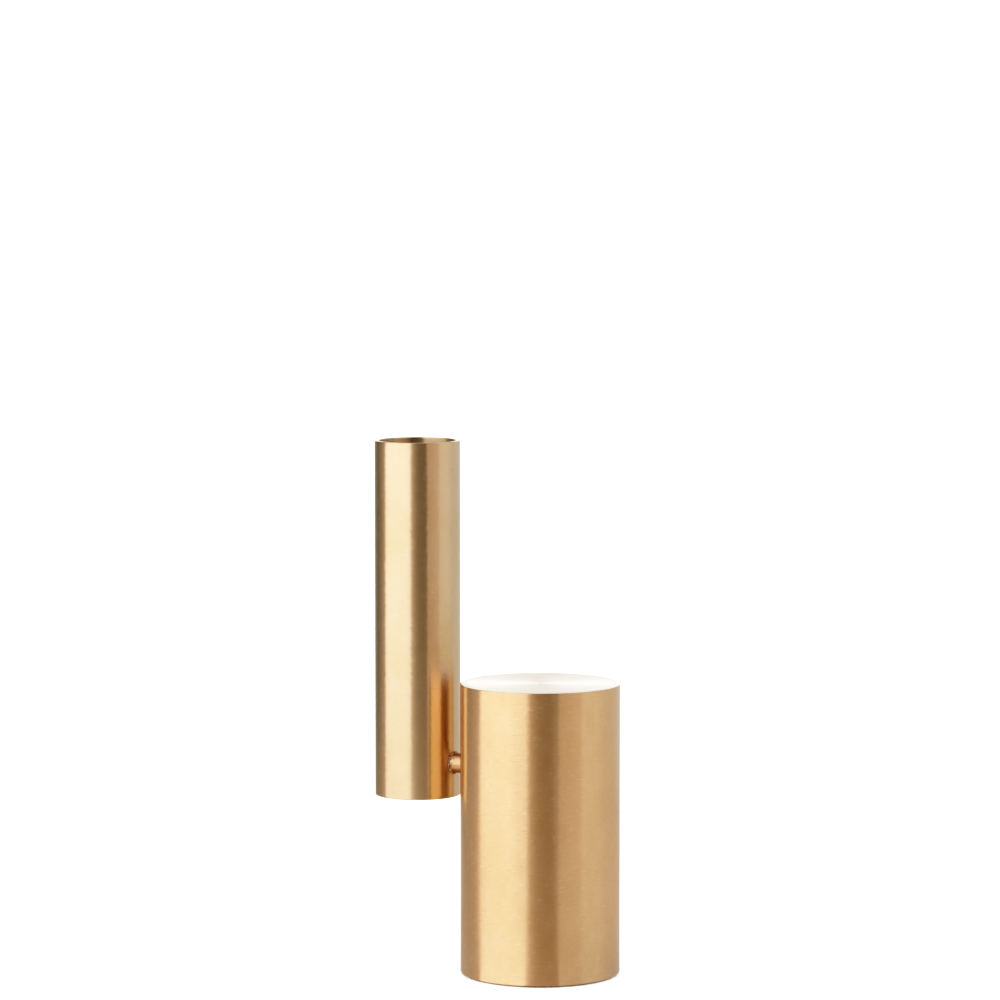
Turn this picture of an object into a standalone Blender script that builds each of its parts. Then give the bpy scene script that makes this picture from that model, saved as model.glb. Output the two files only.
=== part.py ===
"""Two-cylinder vase and candle stand in brushed brass.

A weighted base cylinder stands on the table. A slimmer, open vase tube hangs
beside it, clear of the table, on one short round pin. The pin is brazed to the
tube; at the base it has a keyed spigot in the wall and a screw from inside, so
nothing turns. Metres, +Z up, origin at the centre of the foot on the table
plane; the vase tube lies towards -X.
"""

import math

import bmesh
import bpy
from mathutils import Matrix, Vector

MM = 0.001

# ---------------------------------------------------------------- dimensions
# Base cylinder
BASE_R = 35.0 * MM            # outside radius of the base tube
BASE_WALL = 2.0 * MM
BASE_TOP_Z = 128.0 * MM       # flat top, where a candle stands
FOOT_PROUD = 0.6 * MM         # the pad stands this far below the brass
TOP_DISC_T = 4.0 * MM
TOP_BOSS_R = 10.0 * MM        # tapped boss turned under the top disc
TOP_BOSS_H = 14.0 * MM
PAD_T = 2.0 * MM
PAD_R = 32.4 * MM
PLATE_T = 4.0 * MM
PLATE_R = 32.6 * MM
BALLAST_R = 32.4 * MM
BALLAST_TOP_Z = 74.0 * MM
BALLAST_HOLE_R = 3.6 * MM
TIE_R = 3.0 * MM              # M6 tie screw
TIE_HEAD_R = 6.0 * MM
TIE_HEAD_H = 3.3 * MM
TIE_TOP_Z = 120.0 * MM
SLEEVE_RI = 3.5 * MM
SLEEVE_RO = 5.5 * MM

# Vase tube
VASE_R = 19.0 * MM            # outside radius
VASE_WALL = 2.0 * MM
VASE_BOTTOM_Z = 74.1 * MM
VASE_TOP_Z = 232.1 * MM
VASE_X = -62.5 * MM           # axis of the vase tube
FLOOR_T = 3.0 * MM
FLOOR_RECESS = 1.2 * MM       # the floor sits this far up inside the tube
SOLDER_LEG = 1.2 * MM

# Connector between the two cylinders
PIN_Z = 89.6 * MM             # height of the pin's axis
PIN_R = 4.5 * MM
SHOULDER_X = -35.15 * MM      # flat shoulder against the base tube
SPIGOT_R = 3.4 * MM           # keyed end that sits in the base wall
SPIGOT_FLAT = 2.9 * MM        # half height across its two flats
SPIGOT_END_X = -33.35 * MM
SPIGOT_GAP = 0.25 * MM
TAP_R = 2.2 * MM              # tapped hole for the M4 screw
TAP_END_X = -42.0 * MM
SADDLE_R = 7.0 * MM
SADDLE_HOLE_R = 2.25 * MM
SADDLE_FLAT_X = -30.5 * MM
LOCK_R = 3.8 * MM             # split lock washer
LOCK_HOLE_R = 2.15 * MM
LOCK_T = 1.0 * MM
LOCK_SLIT = 0.8 * MM
SCREW_R = 2.0 * MM
SCREW_HEAD_R = 3.8 * MM
SCREW_HEAD_H = 2.6 * MM
SCREW_SEAT_X = -29.35 * MM
SCREW_END_X = -41.5 * MM
BRAZE_LEG = 1.0 * MM

FIT = 0.06 * MM               # gap left where two turned faces are brazed
EDGE = 0.4 * MM               # broken edges

SEG_LARGE = 96
SEG_SMALL = 40

# ------------------------------------------------------------------- helpers


def clear_scene():
    for obj in list(bpy.data.objects):
        bpy.data.objects.remove(obj, do_unlink=True)
    for mesh in list(bpy.data.meshes):
        bpy.data.meshes.remove(mesh)


def material(name, colour, roughness, metallic):
    mat = bpy.data.materials.new(name)
    mat.use_nodes = True
    shader = mat.node_tree.nodes["Principled BSDF"]
    shader.inputs["Base Color"].default_value = (*colour, 1.0)
    shader.inputs["Roughness"].default_value = roughness
    shader.inputs["Metallic"].default_value = metallic
    return mat


def add_object(name, mesh, mat=None, parent=None, helper=False):
    obj = bpy.data.objects.new(name, mesh)
    bpy.context.scene.collection.objects.link(obj)
    if mat is not None:
        mesh.materials.append(mat)
    if parent is not None:
        obj.parent = parent
        obj.matrix_parent_inverse = Matrix.Translation(-parent.location)
    if helper:
        obj.hide_render = True
        obj.display_type = "WIRE"
    else:
        mesh.shade_smooth()
        mesh.set_sharp_from_angle(angle=math.radians(30))
    return obj


def turned_mesh(name, profile, segments, closed):
    """Spins a profile of (radius, height) points about Z.

    closed: the profile is a loop clear of the axis (a ring). Otherwise its two
    ends lie on the axis.
    """
    bm = bmesh.new()
    verts = [bm.verts.new((r, 0.0, z)) for r, z in profile]
    pairs = list(zip(verts, verts[1:]))
    if closed:
        pairs.append((verts[-1], verts[0]))
    edges = [bm.edges.new(p) for p in pairs]
    bmesh.ops.spin(
        bm,
        geom=verts + edges,
        cent=(0, 0, 0),
        axis=(0, 0, 1),
        angle=2 * math.pi,
        steps=segments,
        use_merge=True,
    )
    bmesh.ops.remove_doubles(bm, verts=bm.verts, dist=1e-7)
    bmesh.ops.dissolve_degenerate(bm, edges=bm.edges, dist=1e-8)
    bmesh.ops.recalc_face_normals(bm, faces=bm.faces)
    mesh = bpy.data.meshes.new(name)
    bm.to_mesh(mesh)
    bm.free()
    return mesh


def prism_mesh(name, radius, z0, z1, segments, phase=0.0):
    """An upright prism with a regular outline: a cutter for holes and sockets."""
    bm = bmesh.new()
    ring = [
        bm.verts.new(
            (
                radius * math.cos(phase + 2 * math.pi * k / segments),
                radius * math.sin(phase + 2 * math.pi * k / segments),
                z0,
            )
        )
        for k in range(segments)
    ]
    bottom = bm.faces.new(ring)
    top = bmesh.ops.extrude_face_region(bm, geom=[bottom])["geom"]
    bmesh.ops.translate(
        bm,
        verts=[v for v in top if isinstance(v, bmesh.types.BMVert)],
        vec=(0, 0, z1 - z0),
    )
    bmesh.ops.recalc_face_normals(bm, faces=bm.faces)
    mesh = bpy.data.meshes.new(name)
    bm.to_mesh(mesh)
    bm.free()
    return mesh


def keyed_mesh(name, radius, flat, z0, z1, steps=10):
    """A round bar with two flats, at local +X and -X (up and down once laid)."""
    lean = math.acos(flat / radius)
    arc = [lean + (math.pi - 2 * lean) * k / steps for k in range(steps + 1)]
    turns = arc + [t + math.pi for t in arc]
    bm = bmesh.new()
    ring = [
        bm.verts.new((radius * math.cos(t), radius * math.sin(t), z0)) for t in turns
    ]
    bottom = bm.faces.new(ring)
    top = bmesh.ops.extrude_face_region(bm, geom=[bottom])["geom"]
    bmesh.ops.translate(
        bm,
        verts=[v for v in top if isinstance(v, bmesh.types.BMVert)],
        vec=(0, 0, z1 - z0),
    )
    bmesh.ops.recalc_face_normals(bm, faces=bm.faces)
    mesh = bpy.data.meshes.new(name)
    bm.to_mesh(mesh)
    bm.free()
    return mesh


# Turned along +Z, then laid so that their axis is +X at the pin's height.
ALONG_X = Matrix.Translation(Vector((0, 0, PIN_Z))) @ Matrix.Rotation(
    math.radians(90), 4, "Y"
)


def lay_along_x(mesh):
    mesh.transform(ALONG_X)
    return mesh


def cut(obj, cutter, operation="DIFFERENCE"):
    mod = obj.modifiers.new(cutter.name, "BOOLEAN")
    mod.operation = operation
    mod.object = cutter
    mod.solver = "EXACT"
    return mod


def at_vase(mesh):
    mesh.transform(Matrix.Translation(Vector((VASE_X, 0, 0))))
    return mesh


# --------------------------------------------------------------------- build


def build():
    clear_scene()

    brass = material("brushed_brass", (0.82, 0.58, 0.30), 0.34, 1.0)
    turned = material("turned_brass", (0.84, 0.62, 0.34), 0.30, 1.0)
    pin_brass = material("pin_brass", (0.80, 0.56, 0.30), 0.32, 1.0)
    filler = material("brazing_filler", (0.62, 0.45, 0.24), 0.50, 1.0)
    solder = material("soft_solder", (0.55, 0.55, 0.54), 0.45, 1.0)
    iron = material("cast_iron", (0.10, 0.10, 0.105), 0.70, 0.6)
    zinc = material("zinc_plated_steel", (0.55, 0.56, 0.57), 0.35, 1.0)
    felt = material("pad_felt", (0.03, 0.03, 0.032), 0.95, 0.0)

    base_frame = bpy.data.objects.new("base_frame", None)
    bpy.context.scene.collection.objects.link(base_frame)
    vase_frame = bpy.data.objects.new("vase_frame", None)
    vase_frame.location = (SHOULDER_X, 0, PIN_Z)  # where the vase side bolts on
    bpy.context.scene.collection.objects.link(vase_frame)
    bpy.context.view_layer.update()

    base_ri = BASE_R - BASE_WALL
    vase_ri = VASE_R - VASE_WALL
    plate_z0 = PAD_T + FIT
    plate_z1 = plate_z0 + PLATE_T
    boss_z = BASE_TOP_Z - TOP_DISC_T - TOP_BOSS_H

    # ---- base tube: drawn brass tube, faced at both ends, one hole for the pin
    mesh = turned_mesh(
        "base_tube",
        [
            (BASE_R, BASE_TOP_Z - EDGE),
            (BASE_R, FOOT_PROUD + EDGE),
            (BASE_R - EDGE, FOOT_PROUD),
            (base_ri + EDGE, FOOT_PROUD),
            (base_ri, FOOT_PROUD + EDGE),
            (base_ri, BASE_TOP_Z),
            (BASE_R - EDGE, BASE_TOP_Z),
        ],
        SEG_LARGE,
        True,
    )
    base_tube = add_object("base_tube", mesh, brass, base_frame)
    hole = add_object(
        "cut_spigot_hole",
        lay_along_x(
            keyed_mesh(
                "cut_spigot_hole",
                SPIGOT_R + SPIGOT_GAP,
                SPIGOT_FLAT + SPIGOT_GAP,
                -40 * MM,
                -25 * MM,
            )
        ),
        parent=base_frame,
        helper=True,
    )
    cut(base_tube, hole)

    # ---- top disc with its tapped boss, brazed flush into the tube
    disc_r = base_ri - FIT
    mesh = turned_mesh(
        "base_top_disc",
        [
            (0.0, BASE_TOP_Z),
            (disc_r, BASE_TOP_Z),
            (disc_r, BASE_TOP_Z - TOP_DISC_T),
            (TOP_BOSS_R, BASE_TOP_Z - TOP_DISC_T),
            (TOP_BOSS_R, boss_z + EDGE),
            (TOP_BOSS_R - EDGE, boss_z),
            (TIE_R + 0.25 * MM, boss_z),
            (TIE_R + 0.25 * MM, TIE_TOP_Z + 1.0 * MM),
            (0.0, TIE_TOP_Z + 2.5 * MM),
        ],
        SEG_LARGE,
        False,
    )
    add_object("base_top_disc", mesh, turned, base_frame)

    under = BASE_TOP_Z - TOP_DISC_T - FIT
    mesh = turned_mesh(
        "disc_braze_ring",
        [
            (disc_r, under),
            (disc_r, under - SOLDER_LEG),
            (disc_r - 0.42 * SOLDER_LEG, under - 0.42 * SOLDER_LEG),
            (disc_r - SOLDER_LEG, under),
        ],
        SEG_LARGE,
        True,
    )
    add_object("disc_braze_ring", mesh, filler, base_frame)

    # ---- ballast, plate, tie screw and sleeve: one clamped stack
    mesh = turned_mesh(
        "ballast_weight",
        [
            (BALLAST_R, BALLAST_TOP_Z - 1.5 * MM),
            (BALLAST_R, plate_z1 + FIT + 1.5 * MM),
            (BALLAST_R - 1.5 * MM, plate_z1 + FIT),
            (BALLAST_HOLE_R, plate_z1 + FIT),
            (BALLAST_HOLE_R, BALLAST_TOP_Z),
            (BALLAST_R - 1.5 * MM, BALLAST_TOP_Z),
        ],
        64,
        True,
    )
    add_object("ballast_weight", mesh, iron, base_frame)

    sink = 0.3 * MM
    mesh = turned_mesh(
        "base_plate",
        [
            (PLATE_R, plate_z1 - EDGE),
            (PLATE_R, plate_z0 + EDGE),
            (PLATE_R - EDGE, plate_z0),
            (TIE_HEAD_R + sink, plate_z0),
            (TIE_R + sink, plate_z0 + TIE_HEAD_H),
            (TIE_R + sink, plate_z1),
            (PLATE_R - EDGE, plate_z1),
        ],
        64,
        True,
    )
    add_object("base_plate", mesh, zinc, base_frame)

    mesh = turned_mesh(
        "tie_screw",
        [
            (0.0, TIE_TOP_Z),
            (TIE_R - 0.6 * MM, TIE_TOP_Z),
            (TIE_R, TIE_TOP_Z - 0.8 * MM),
            (TIE_R, plate_z0 + TIE_HEAD_H),
            (TIE_HEAD_R - 0.25 * MM, plate_z0 + 0.35 * MM),
            (TIE_HEAD_R - 0.25 * MM, plate_z0 + 0.05 * MM),
            (0.0, plate_z0 + 0.05 * MM),
        ],
        SEG_SMALL,
        False,
    )
    tie = add_object("tie_screw", mesh, zinc, base_frame)
    socket = add_object(
        "cut_tie_socket",
        prism_mesh("cut_tie_socket", 2.31 * MM, 0.5 * MM, plate_z0 + 2.2 * MM, 6),
        parent=base_frame,
        helper=True,
    )
    cut(tie, socket)

    mesh = turned_mesh(
        "tie_sleeve",
        [
            (SLEEVE_RO, boss_z - FIT - EDGE),
            (SLEEVE_RO, BALLAST_TOP_Z + FIT + EDGE),
            (SLEEVE_RO - EDGE, BALLAST_TOP_Z + FIT),
            (SLEEVE_RI, BALLAST_TOP_Z + FIT),
            (SLEEVE_RI, boss_z - FIT),
            (SLEEVE_RO - EDGE, boss_z - FIT),
        ],
        SEG_SMALL,
        True,
    )
    add_object("tie_sleeve", mesh, zinc, base_frame)

    # ---- pad under the plate, standing a little proud of the brass
    mesh = turned_mesh(
        "foot_pad",
        [
            (0.0, PAD_T),
            (PAD_R, PAD_T),
            (PAD_R, 0.35 * MM),
            (PAD_R - 0.35 * MM, 0.0),
            (0.0, 0.0),
        ],
        64,
        False,
    )
    add_object("foot_pad", mesh, felt, base_frame)

    # ---- saddle washer: rounded to the inside of the base wall, flat inwards
    mesh = lay_along_x(
        turned_mesh(
            "saddle_washer",
            [
                (SADDLE_R, SADDLE_FLAT_X - 0.3 * MM),
                (SADDLE_R, -36 * MM),
                (SADDLE_HOLE_R, -36 * MM),
                (SADDLE_HOLE_R, SADDLE_FLAT_X),
                (SADDLE_R - 0.3 * MM, SADDLE_FLAT_X),
            ],
            SEG_SMALL,
            True,
        )
    )
    saddle = add_object("saddle_washer", mesh, turned, base_frame)
    wall = add_object(
        "cut_saddle_round",
        prism_mesh(
            "cut_saddle_round",
            base_ri - 0.1 * MM,
            PIN_Z - 20 * MM,
            PIN_Z + 20 * MM,
            SEG_LARGE,
        ),
        parent=base_frame,
        helper=True,
    )
    cut(saddle, wall, "INTERSECT")

    # ---- vase tube, its floor and the solder that seals it
    mesh = at_vase(
        turned_mesh(
            "vase_tube",
            [
                (VASE_R, VASE_TOP_Z - EDGE),
                (VASE_R, VASE_BOTTOM_Z + EDGE),
                (VASE_R - EDGE, VASE_BOTTOM_Z),
                (vase_ri + EDGE, VASE_BOTTOM_Z),
                (vase_ri, VASE_BOTTOM_Z + EDGE),
                (vase_ri, VASE_TOP_Z - EDGE),
                (vase_ri + EDGE, VASE_TOP_Z),
                (VASE_R - EDGE, VASE_TOP_Z),
            ],
            SEG_LARGE,
            True,
        )
    )
    add_object("vase_tube", mesh, brass, vase_frame)

    floor_z0 = VASE_BOTTOM_Z + FLOOR_RECESS
    floor_z1 = floor_z0 + FLOOR_T
    floor_r = vase_ri - FIT
    mesh = at_vase(
        turned_mesh(
            "vase_floor",
            [
                (0.0, floor_z1),
                (floor_r, floor_z1),
                (floor_r, floor_z0 + EDGE),
                (floor_r - EDGE, floor_z0),
                (0.0, floor_z0),
            ],
            SEG_LARGE,
            False,
        )
    )
    add_object("vase_floor", mesh, turned, vase_frame)

    mesh = at_vase(
        turned_mesh(
            "floor_solder_ring",
            [
                (floor_r, floor_z1 + FIT + SOLDER_LEG),
                (floor_r, floor_z1 + FIT),
                (floor_r - SOLDER_LEG, floor_z1 + FIT),
                (floor_r - 0.42 * SOLDER_LEG, floor_z1 + FIT + 0.42 * SOLDER_LEG),
            ],
            SEG_LARGE,
            True,
        )
    )
    add_object("floor_solder_ring", mesh, solder, vase_frame)

    # ---- connector pin: coped to the tube, keyed and tapped at the base
    mesh = lay_along_x(
        turned_mesh(
            "connector_pin",
            [
                (0.0, SHOULDER_X),
                (PIN_R - 0.25 * MM, SHOULDER_X),
                (PIN_R, SHOULDER_X - 0.25 * MM),
                (PIN_R, VASE_X + 10 * MM),
                (0.0, VASE_X + 10 * MM),
            ],
            SEG_SMALL,
            False,
        )
    )
    pin = add_object("connector_pin", mesh, pin_brass, vase_frame)
    spigot = add_object(
        "join_pin_spigot",
        lay_along_x(
            keyed_mesh(
                "join_pin_spigot",
                SPIGOT_R,
                SPIGOT_FLAT,
                SHOULDER_X - 2 * MM,
                SPIGOT_END_X,
            )
        ),
        parent=vase_frame,
        helper=True,
    )
    cut(pin, spigot, "UNION")
    drill = add_object(
        "cut_pin_tap",
        lay_along_x(
            turned_mesh(
                "cut_pin_tap",
                [
                    (0.0, SPIGOT_END_X + 3 * MM),
                    (TAP_R, SPIGOT_END_X + 3 * MM),
                    (TAP_R, TAP_END_X),
                    (0.0, TAP_END_X - 0.6 * MM),
                ],
                SEG_SMALL,
                False,
            )
        ),
        parent=vase_frame,
        helper=True,
    )
    cut(pin, drill)
    cope = add_object(
        "cut_pin_cope",
        at_vase(
            prism_mesh(
                "cut_pin_cope",
                VASE_R + FIT,
                PIN_Z - 20 * MM,
                PIN_Z + 20 * MM,
                SEG_LARGE,
            )
        ),
        parent=vase_frame,
        helper=True,
    )
    cut(pin, cope)

    # ---- fillet of brazing filler around the pin's root on the tube
    def on_tube(radius, turn, lift):
        """A point at this radius from the pin's axis, lifted off the tube."""
        y, z = radius * math.cos(turn), radius * math.sin(turn)
        return Vector(
            (VASE_X + math.sqrt(VASE_R**2 - y**2) + lift, y, PIN_Z + z)
        )

    bm = bmesh.new()
    rings = []
    inner, outer = PIN_R + FIT, PIN_R + FIT + BRAZE_LEG
    for k in range(SEG_SMALL):
        turn = 2 * math.pi * k / SEG_SMALL
        foot_in = on_tube(inner, turn, 2 * FIT)
        foot_out = on_tube(outer, turn, 2 * FIT)
        crest = on_tube(inner, turn, 2 * FIT + BRAZE_LEG)
        waist = on_tube(inner + 0.4 * BRAZE_LEG, turn, 2 * FIT + 0.4 * BRAZE_LEG)
        rings.append([bm.verts.new(p) for p in (foot_in, foot_out, waist, crest)])
    for k, ring in enumerate(rings):
        after = rings[(k + 1) % SEG_SMALL]
        for i in range(4):
            j = (i + 1) % 4
            bm.faces.new((ring[i], ring[j], after[j], after[i]))
    bmesh.ops.recalc_face_normals(bm, faces=bm.faces)
    mesh = bpy.data.meshes.new("pin_braze_fillet")
    bm.to_mesh(mesh)
    bm.free()
    add_object("pin_braze_fillet", mesh, filler, vase_frame)

    # ---- lock washer and the screw that pulls the pin on to the base wall
    flat = SADDLE_FLAT_X + FIT
    mesh = lay_along_x(
        turned_mesh(
            "lock_washer",
            [
                (LOCK_R, flat),
                (LOCK_HOLE_R, flat),
                (LOCK_HOLE_R, flat + LOCK_T),
                (LOCK_R, flat + LOCK_T),
            ],
            SEG_SMALL,
            True,
        )
    )
    lock = add_object("lock_washer", mesh, zinc, base_frame)
    slit_mesh = bpy.data.meshes.new("cut_lock_slit")
    bm = bmesh.new()
    bmesh.ops.create_cube(bm, size=1.0)
    bmesh.ops.scale(bm, vec=(4 * MM, LOCK_SLIT, 5 * MM), verts=bm.verts)
    bmesh.ops.rotate(
        bm, matrix=Matrix.Rotation(math.radians(20), 3, "Z"), verts=bm.verts
    )
    bmesh.ops.translate(
        bm, vec=(flat + LOCK_T / 2, 0, PIN_Z + 3 * MM), verts=bm.verts
    )
    bm.to_mesh(slit_mesh)
    bm.free()
    slit = add_object("cut_lock_slit", slit_mesh, parent=base_frame, helper=True)
    cut(lock, slit)

    mesh = lay_along_x(
        turned_mesh(
            "connector_screw",
            [
                (0.0, SCREW_END_X),
                (SCREW_R - 0.4 * MM, SCREW_END_X),
                (SCREW_R, SCREW_END_X + 0.5 * MM),
                (SCREW_R, SCREW_SEAT_X),
                (SCREW_HEAD_R, SCREW_SEAT_X),
                (SCREW_HEAD_R, SCREW_SEAT_X + 0.45 * SCREW_HEAD_H),
                (0.88 * SCREW_HEAD_R, SCREW_SEAT_X + 0.75 * SCREW_HEAD_H),
                (0.62 * SCREW_HEAD_R, SCREW_SEAT_X + SCREW_HEAD_H),
                (0.0, SCREW_SEAT_X + SCREW_HEAD_H),
            ],
            SEG_SMALL,
            False,
        )
    )
    screw = add_object("connector_screw", mesh, zinc, base_frame)
    socket = add_object(
        "cut_screw_socket",
        lay_along_x(
            prism_mesh(
                "cut_screw_socket",
                1.45 * MM,
                SCREW_SEAT_X + 0.9 * MM,
                SCREW_SEAT_X + 6 * MM,
                6,
            )
        ),
        parent=base_frame,
        helper=True,
    )
    cut(screw, socket)


build()
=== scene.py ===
"""The looks of the two-cylinder brass vase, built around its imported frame."""

import math

import bmesh
import bpy
from mathutils import Matrix, Vector, noise


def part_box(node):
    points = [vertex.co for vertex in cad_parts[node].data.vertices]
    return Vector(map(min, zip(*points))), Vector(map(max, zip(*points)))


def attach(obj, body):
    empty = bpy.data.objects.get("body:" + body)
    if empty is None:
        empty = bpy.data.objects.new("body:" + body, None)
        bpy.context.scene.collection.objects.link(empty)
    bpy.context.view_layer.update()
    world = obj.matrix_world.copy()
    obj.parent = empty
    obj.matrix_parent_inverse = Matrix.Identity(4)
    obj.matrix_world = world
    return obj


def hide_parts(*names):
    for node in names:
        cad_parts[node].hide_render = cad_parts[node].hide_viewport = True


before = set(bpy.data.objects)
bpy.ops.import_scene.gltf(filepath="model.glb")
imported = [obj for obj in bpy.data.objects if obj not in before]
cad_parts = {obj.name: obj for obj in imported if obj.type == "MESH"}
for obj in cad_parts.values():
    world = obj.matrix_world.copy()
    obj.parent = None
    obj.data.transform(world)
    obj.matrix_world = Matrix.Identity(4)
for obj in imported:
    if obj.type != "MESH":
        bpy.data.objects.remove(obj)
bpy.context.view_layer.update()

MM = 0.001
BODY = "root"

# ------------------------------------------------------------ sizes from CAD
base_lo, base_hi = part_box("base_tube")
disc_lo, disc_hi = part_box("base_top_disc")
vase_lo, vase_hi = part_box("vase_tube")
floor_lo, floor_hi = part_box("vase_floor")
pin_lo, pin_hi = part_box("connector_pin")
pad_lo, pad_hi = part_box("foot_pad")
solder_lo, solder_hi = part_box("floor_solder_ring")

BASE_R = base_hi.x
BASE_RI = BASE_R - 2.0 * MM
VASE_R = (vase_hi.x - vase_lo.x) / 2
VASE_RI = VASE_R - 2.0 * MM
VASE_X = (vase_hi.x + vase_lo.x) / 2
PIN_R = (pin_hi.y - pin_lo.y) / 2
PIN_Z = (pin_hi.z + pin_lo.z) / 2
SHOULDER_X = -BASE_R - 0.15 * MM
SPIGOT_END_X = pin_hi.x

SEG = 256

# ------------------------------------------------------------------- meshes


def rounded(corners, closed, steps=5):
    """Points of a profile whose corners (r, z, radius) are rounded off."""
    out = []
    count = len(corners)
    for k, (r, z, rad) in enumerate(corners):
        if rad <= 0 or (not closed and k in (0, count - 1)):
            out.append((r, z))
            continue
        here = Vector((r, z))
        before = (Vector(corners[k - 1][:2]) - here).normalized()
        after = (Vector(corners[(k + 1) % count][:2]) - here).normalized()
        half = before.angle(after) / 2
        reach = rad / math.tan(half)
        centre = here + (before + after).normalized() * (rad / math.sin(half))
        a = here + before * reach - centre
        b = here + after * reach - centre
        turn = a.angle_signed(b)
        for s in range(steps + 1):
            v = a.copy()
            v.rotate(Matrix.Rotation(-turn * s / steps, 2))
            out.append(tuple(centre + v))
    return out


def finish_mesh(name, bm, smooth_deg=30):
    bmesh.ops.recalc_face_normals(bm, faces=bm.faces)
    mesh = bpy.data.meshes.new(name)
    bm.to_mesh(mesh)
    bm.free()
    mesh.shade_smooth()
    mesh.set_sharp_from_angle(angle=math.radians(smooth_deg))
    return mesh


def lathe(name, profile, closed, segments=SEG, centre=(0.0, 0.0), wobble=None):
    """A turned body about a vertical axis at centre, as quads and a few fans."""
    bm = bmesh.new()
    rings = []
    for r, z in profile:
        if r < 1e-7:
            rings.append([bm.verts.new((centre[0], centre[1], z))])
            continue
        ring = []
        for k in range(segments):
            t = 2 * math.pi * k / segments
            rr, zz = (r, z) if wobble is None else wobble(r, z, t)
            ring.append(
                bm.verts.new(
                    (centre[0] + rr * math.cos(t), centre[1] + rr * math.sin(t), zz)
                )
            )
        rings.append(ring)
    pairs = list(zip(rings, rings[1:]))
    if closed:
        pairs.append((rings[-1], rings[0]))
    for a, b in pairs:
        for k in range(segments):
            j = (k + 1) % segments
            if len(a) == 1 and len(b) == 1:
                continue
            if len(a) == 1:
                bm.faces.new((a[0], b[j], b[k]))
            elif len(b) == 1:
                bm.faces.new((a[k], a[j], b[0]))
            else:
                bm.faces.new((a[k], a[j], b[j], b[k]))
    return finish_mesh(name, bm)


def piece(name, mesh, mat, slot, *nodes):
    """A visible piece that stands for CAD nodes; its slot argument is not used."""
    obj = bpy.data.objects.new(name, mesh)
    bpy.context.scene.collection.objects.link(obj)
    mesh.materials.clear()
    mesh.materials.append(mat)
    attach(obj, BODY)
    if nodes:
        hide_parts(*nodes)
    return obj


def prism(name, outline, x0, x1):
    """A bar along X with an outline of (y, z) points about the pin's axis."""
    bm = bmesh.new()
    near = [bm.verts.new((x0, y, PIN_Z + z)) for y, z in outline]
    far = [bm.verts.new((x1, y, PIN_Z + z)) for y, z in outline]
    bm.faces.new(near)
    bm.faces.new(list(reversed(far)))
    for k in range(len(outline)):
        j = (k + 1) % len(outline)
        bm.faces.new((near[k], near[j], far[j], far[k]))
    return finish_mesh(name, bm)


def keyed_outline(radius, flat, steps=24):
    lean = math.acos(flat / radius)
    arc = [lean + (math.pi - 2 * lean) * k / steps for k in range(steps + 1)]
    return [
        (radius * math.sin(t), radius * math.cos(t))
        for t in arc + [t + math.pi for t in arc]
    ]


def round_outline(radius, steps=64):
    return [
        (
            radius * math.cos(2 * math.pi * k / steps),
            radius * math.sin(2 * math.pi * k / steps),
        )
        for k in range(steps)
    ]


def combined(name, mesh, *steps):
    """The mesh after Boolean steps of (operation, other mesh)."""
    scene = bpy.context.scene
    work = bpy.data.objects.new(name + "_work", mesh)
    scene.collection.objects.link(work)
    others = []
    for operation, other in steps:
        obj = bpy.data.objects.new(name + "_tool", other)
        scene.collection.objects.link(obj)
        others.append(obj)
        mod = work.modifiers.new(operation.lower(), "BOOLEAN")
        mod.operation = operation
        mod.object = obj
        mod.solver = "EXACT"
    bpy.context.view_layer.update()
    graph = bpy.context.evaluated_depsgraph_get()
    made = bpy.data.meshes.new_from_object(work.evaluated_get(graph))
    made.name = name
    for obj in [work, *others]:
        bpy.data.objects.remove(obj, do_unlink=True)
    made.shade_smooth()
    made.set_sharp_from_angle(angle=math.radians(30))
    return made


# ---------------------------------------------------------------- materials


def add(tree, kind, inputs=None, **props):
    """A node with its properties set, and its inputs set or linked."""
    n = tree.nodes.new(kind)
    for key, value in props.items():
        setattr(n, key, value)
    for key, value in (inputs or {}).items():
        socket = n.inputs[key]
        if isinstance(value, bpy.types.NodeSocket):
            tree.links.new(value, socket)
        else:
            socket.default_value = value
    return n


def new_material(name):
    mat = bpy.data.materials.new(name)
    mat.use_nodes = True
    tree = mat.node_tree
    return mat, tree, tree.nodes["Principled BSDF"]


def scaled(tree, vector, factors):
    return add(
        tree, "ShaderNodeVectorMath", {0: vector, 1: factors}, operation="MULTIPLY"
    ).outputs["Vector"]


def grain(tree, vector, detail=2.0, rough=0.6):
    return add(
        tree,
        "ShaderNodeTexNoise",
        {"Vector": vector, "Scale": 1.0, "Detail": detail, "Roughness": rough},
        noise_dimensions="3D",
    ).outputs["Fac"]


def ranged(tree, value, low, high, to_low, to_high):
    return add(
        tree,
        "ShaderNodeMapRange",
        {
            "Value": value,
            "From Min": low,
            "From Max": high,
            "To Min": to_low,
            "To Max": to_high,
        },
    ).outputs["Result"]


def maths(tree, operation, a, b):
    return add(tree, "ShaderNodeMath", {0: a, 1: b}, operation=operation).outputs[0]


def blended(tree, factor, a, b, mode="MIX"):
    n = add(tree, "ShaderNodeMix", data_type="RGBA", blend_type=mode)
    for key, value in (("Factor_Float", factor), ("A_Color", a), ("B_Color", b)):
        socket = next(s for s in n.inputs if s.identifier == key)
        if isinstance(value, bpy.types.NodeSocket):
            tree.links.new(value, socket)
        else:
            socket.default_value = value
    return next(s for s in n.outputs if s.identifier == "Result_Color")


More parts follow.
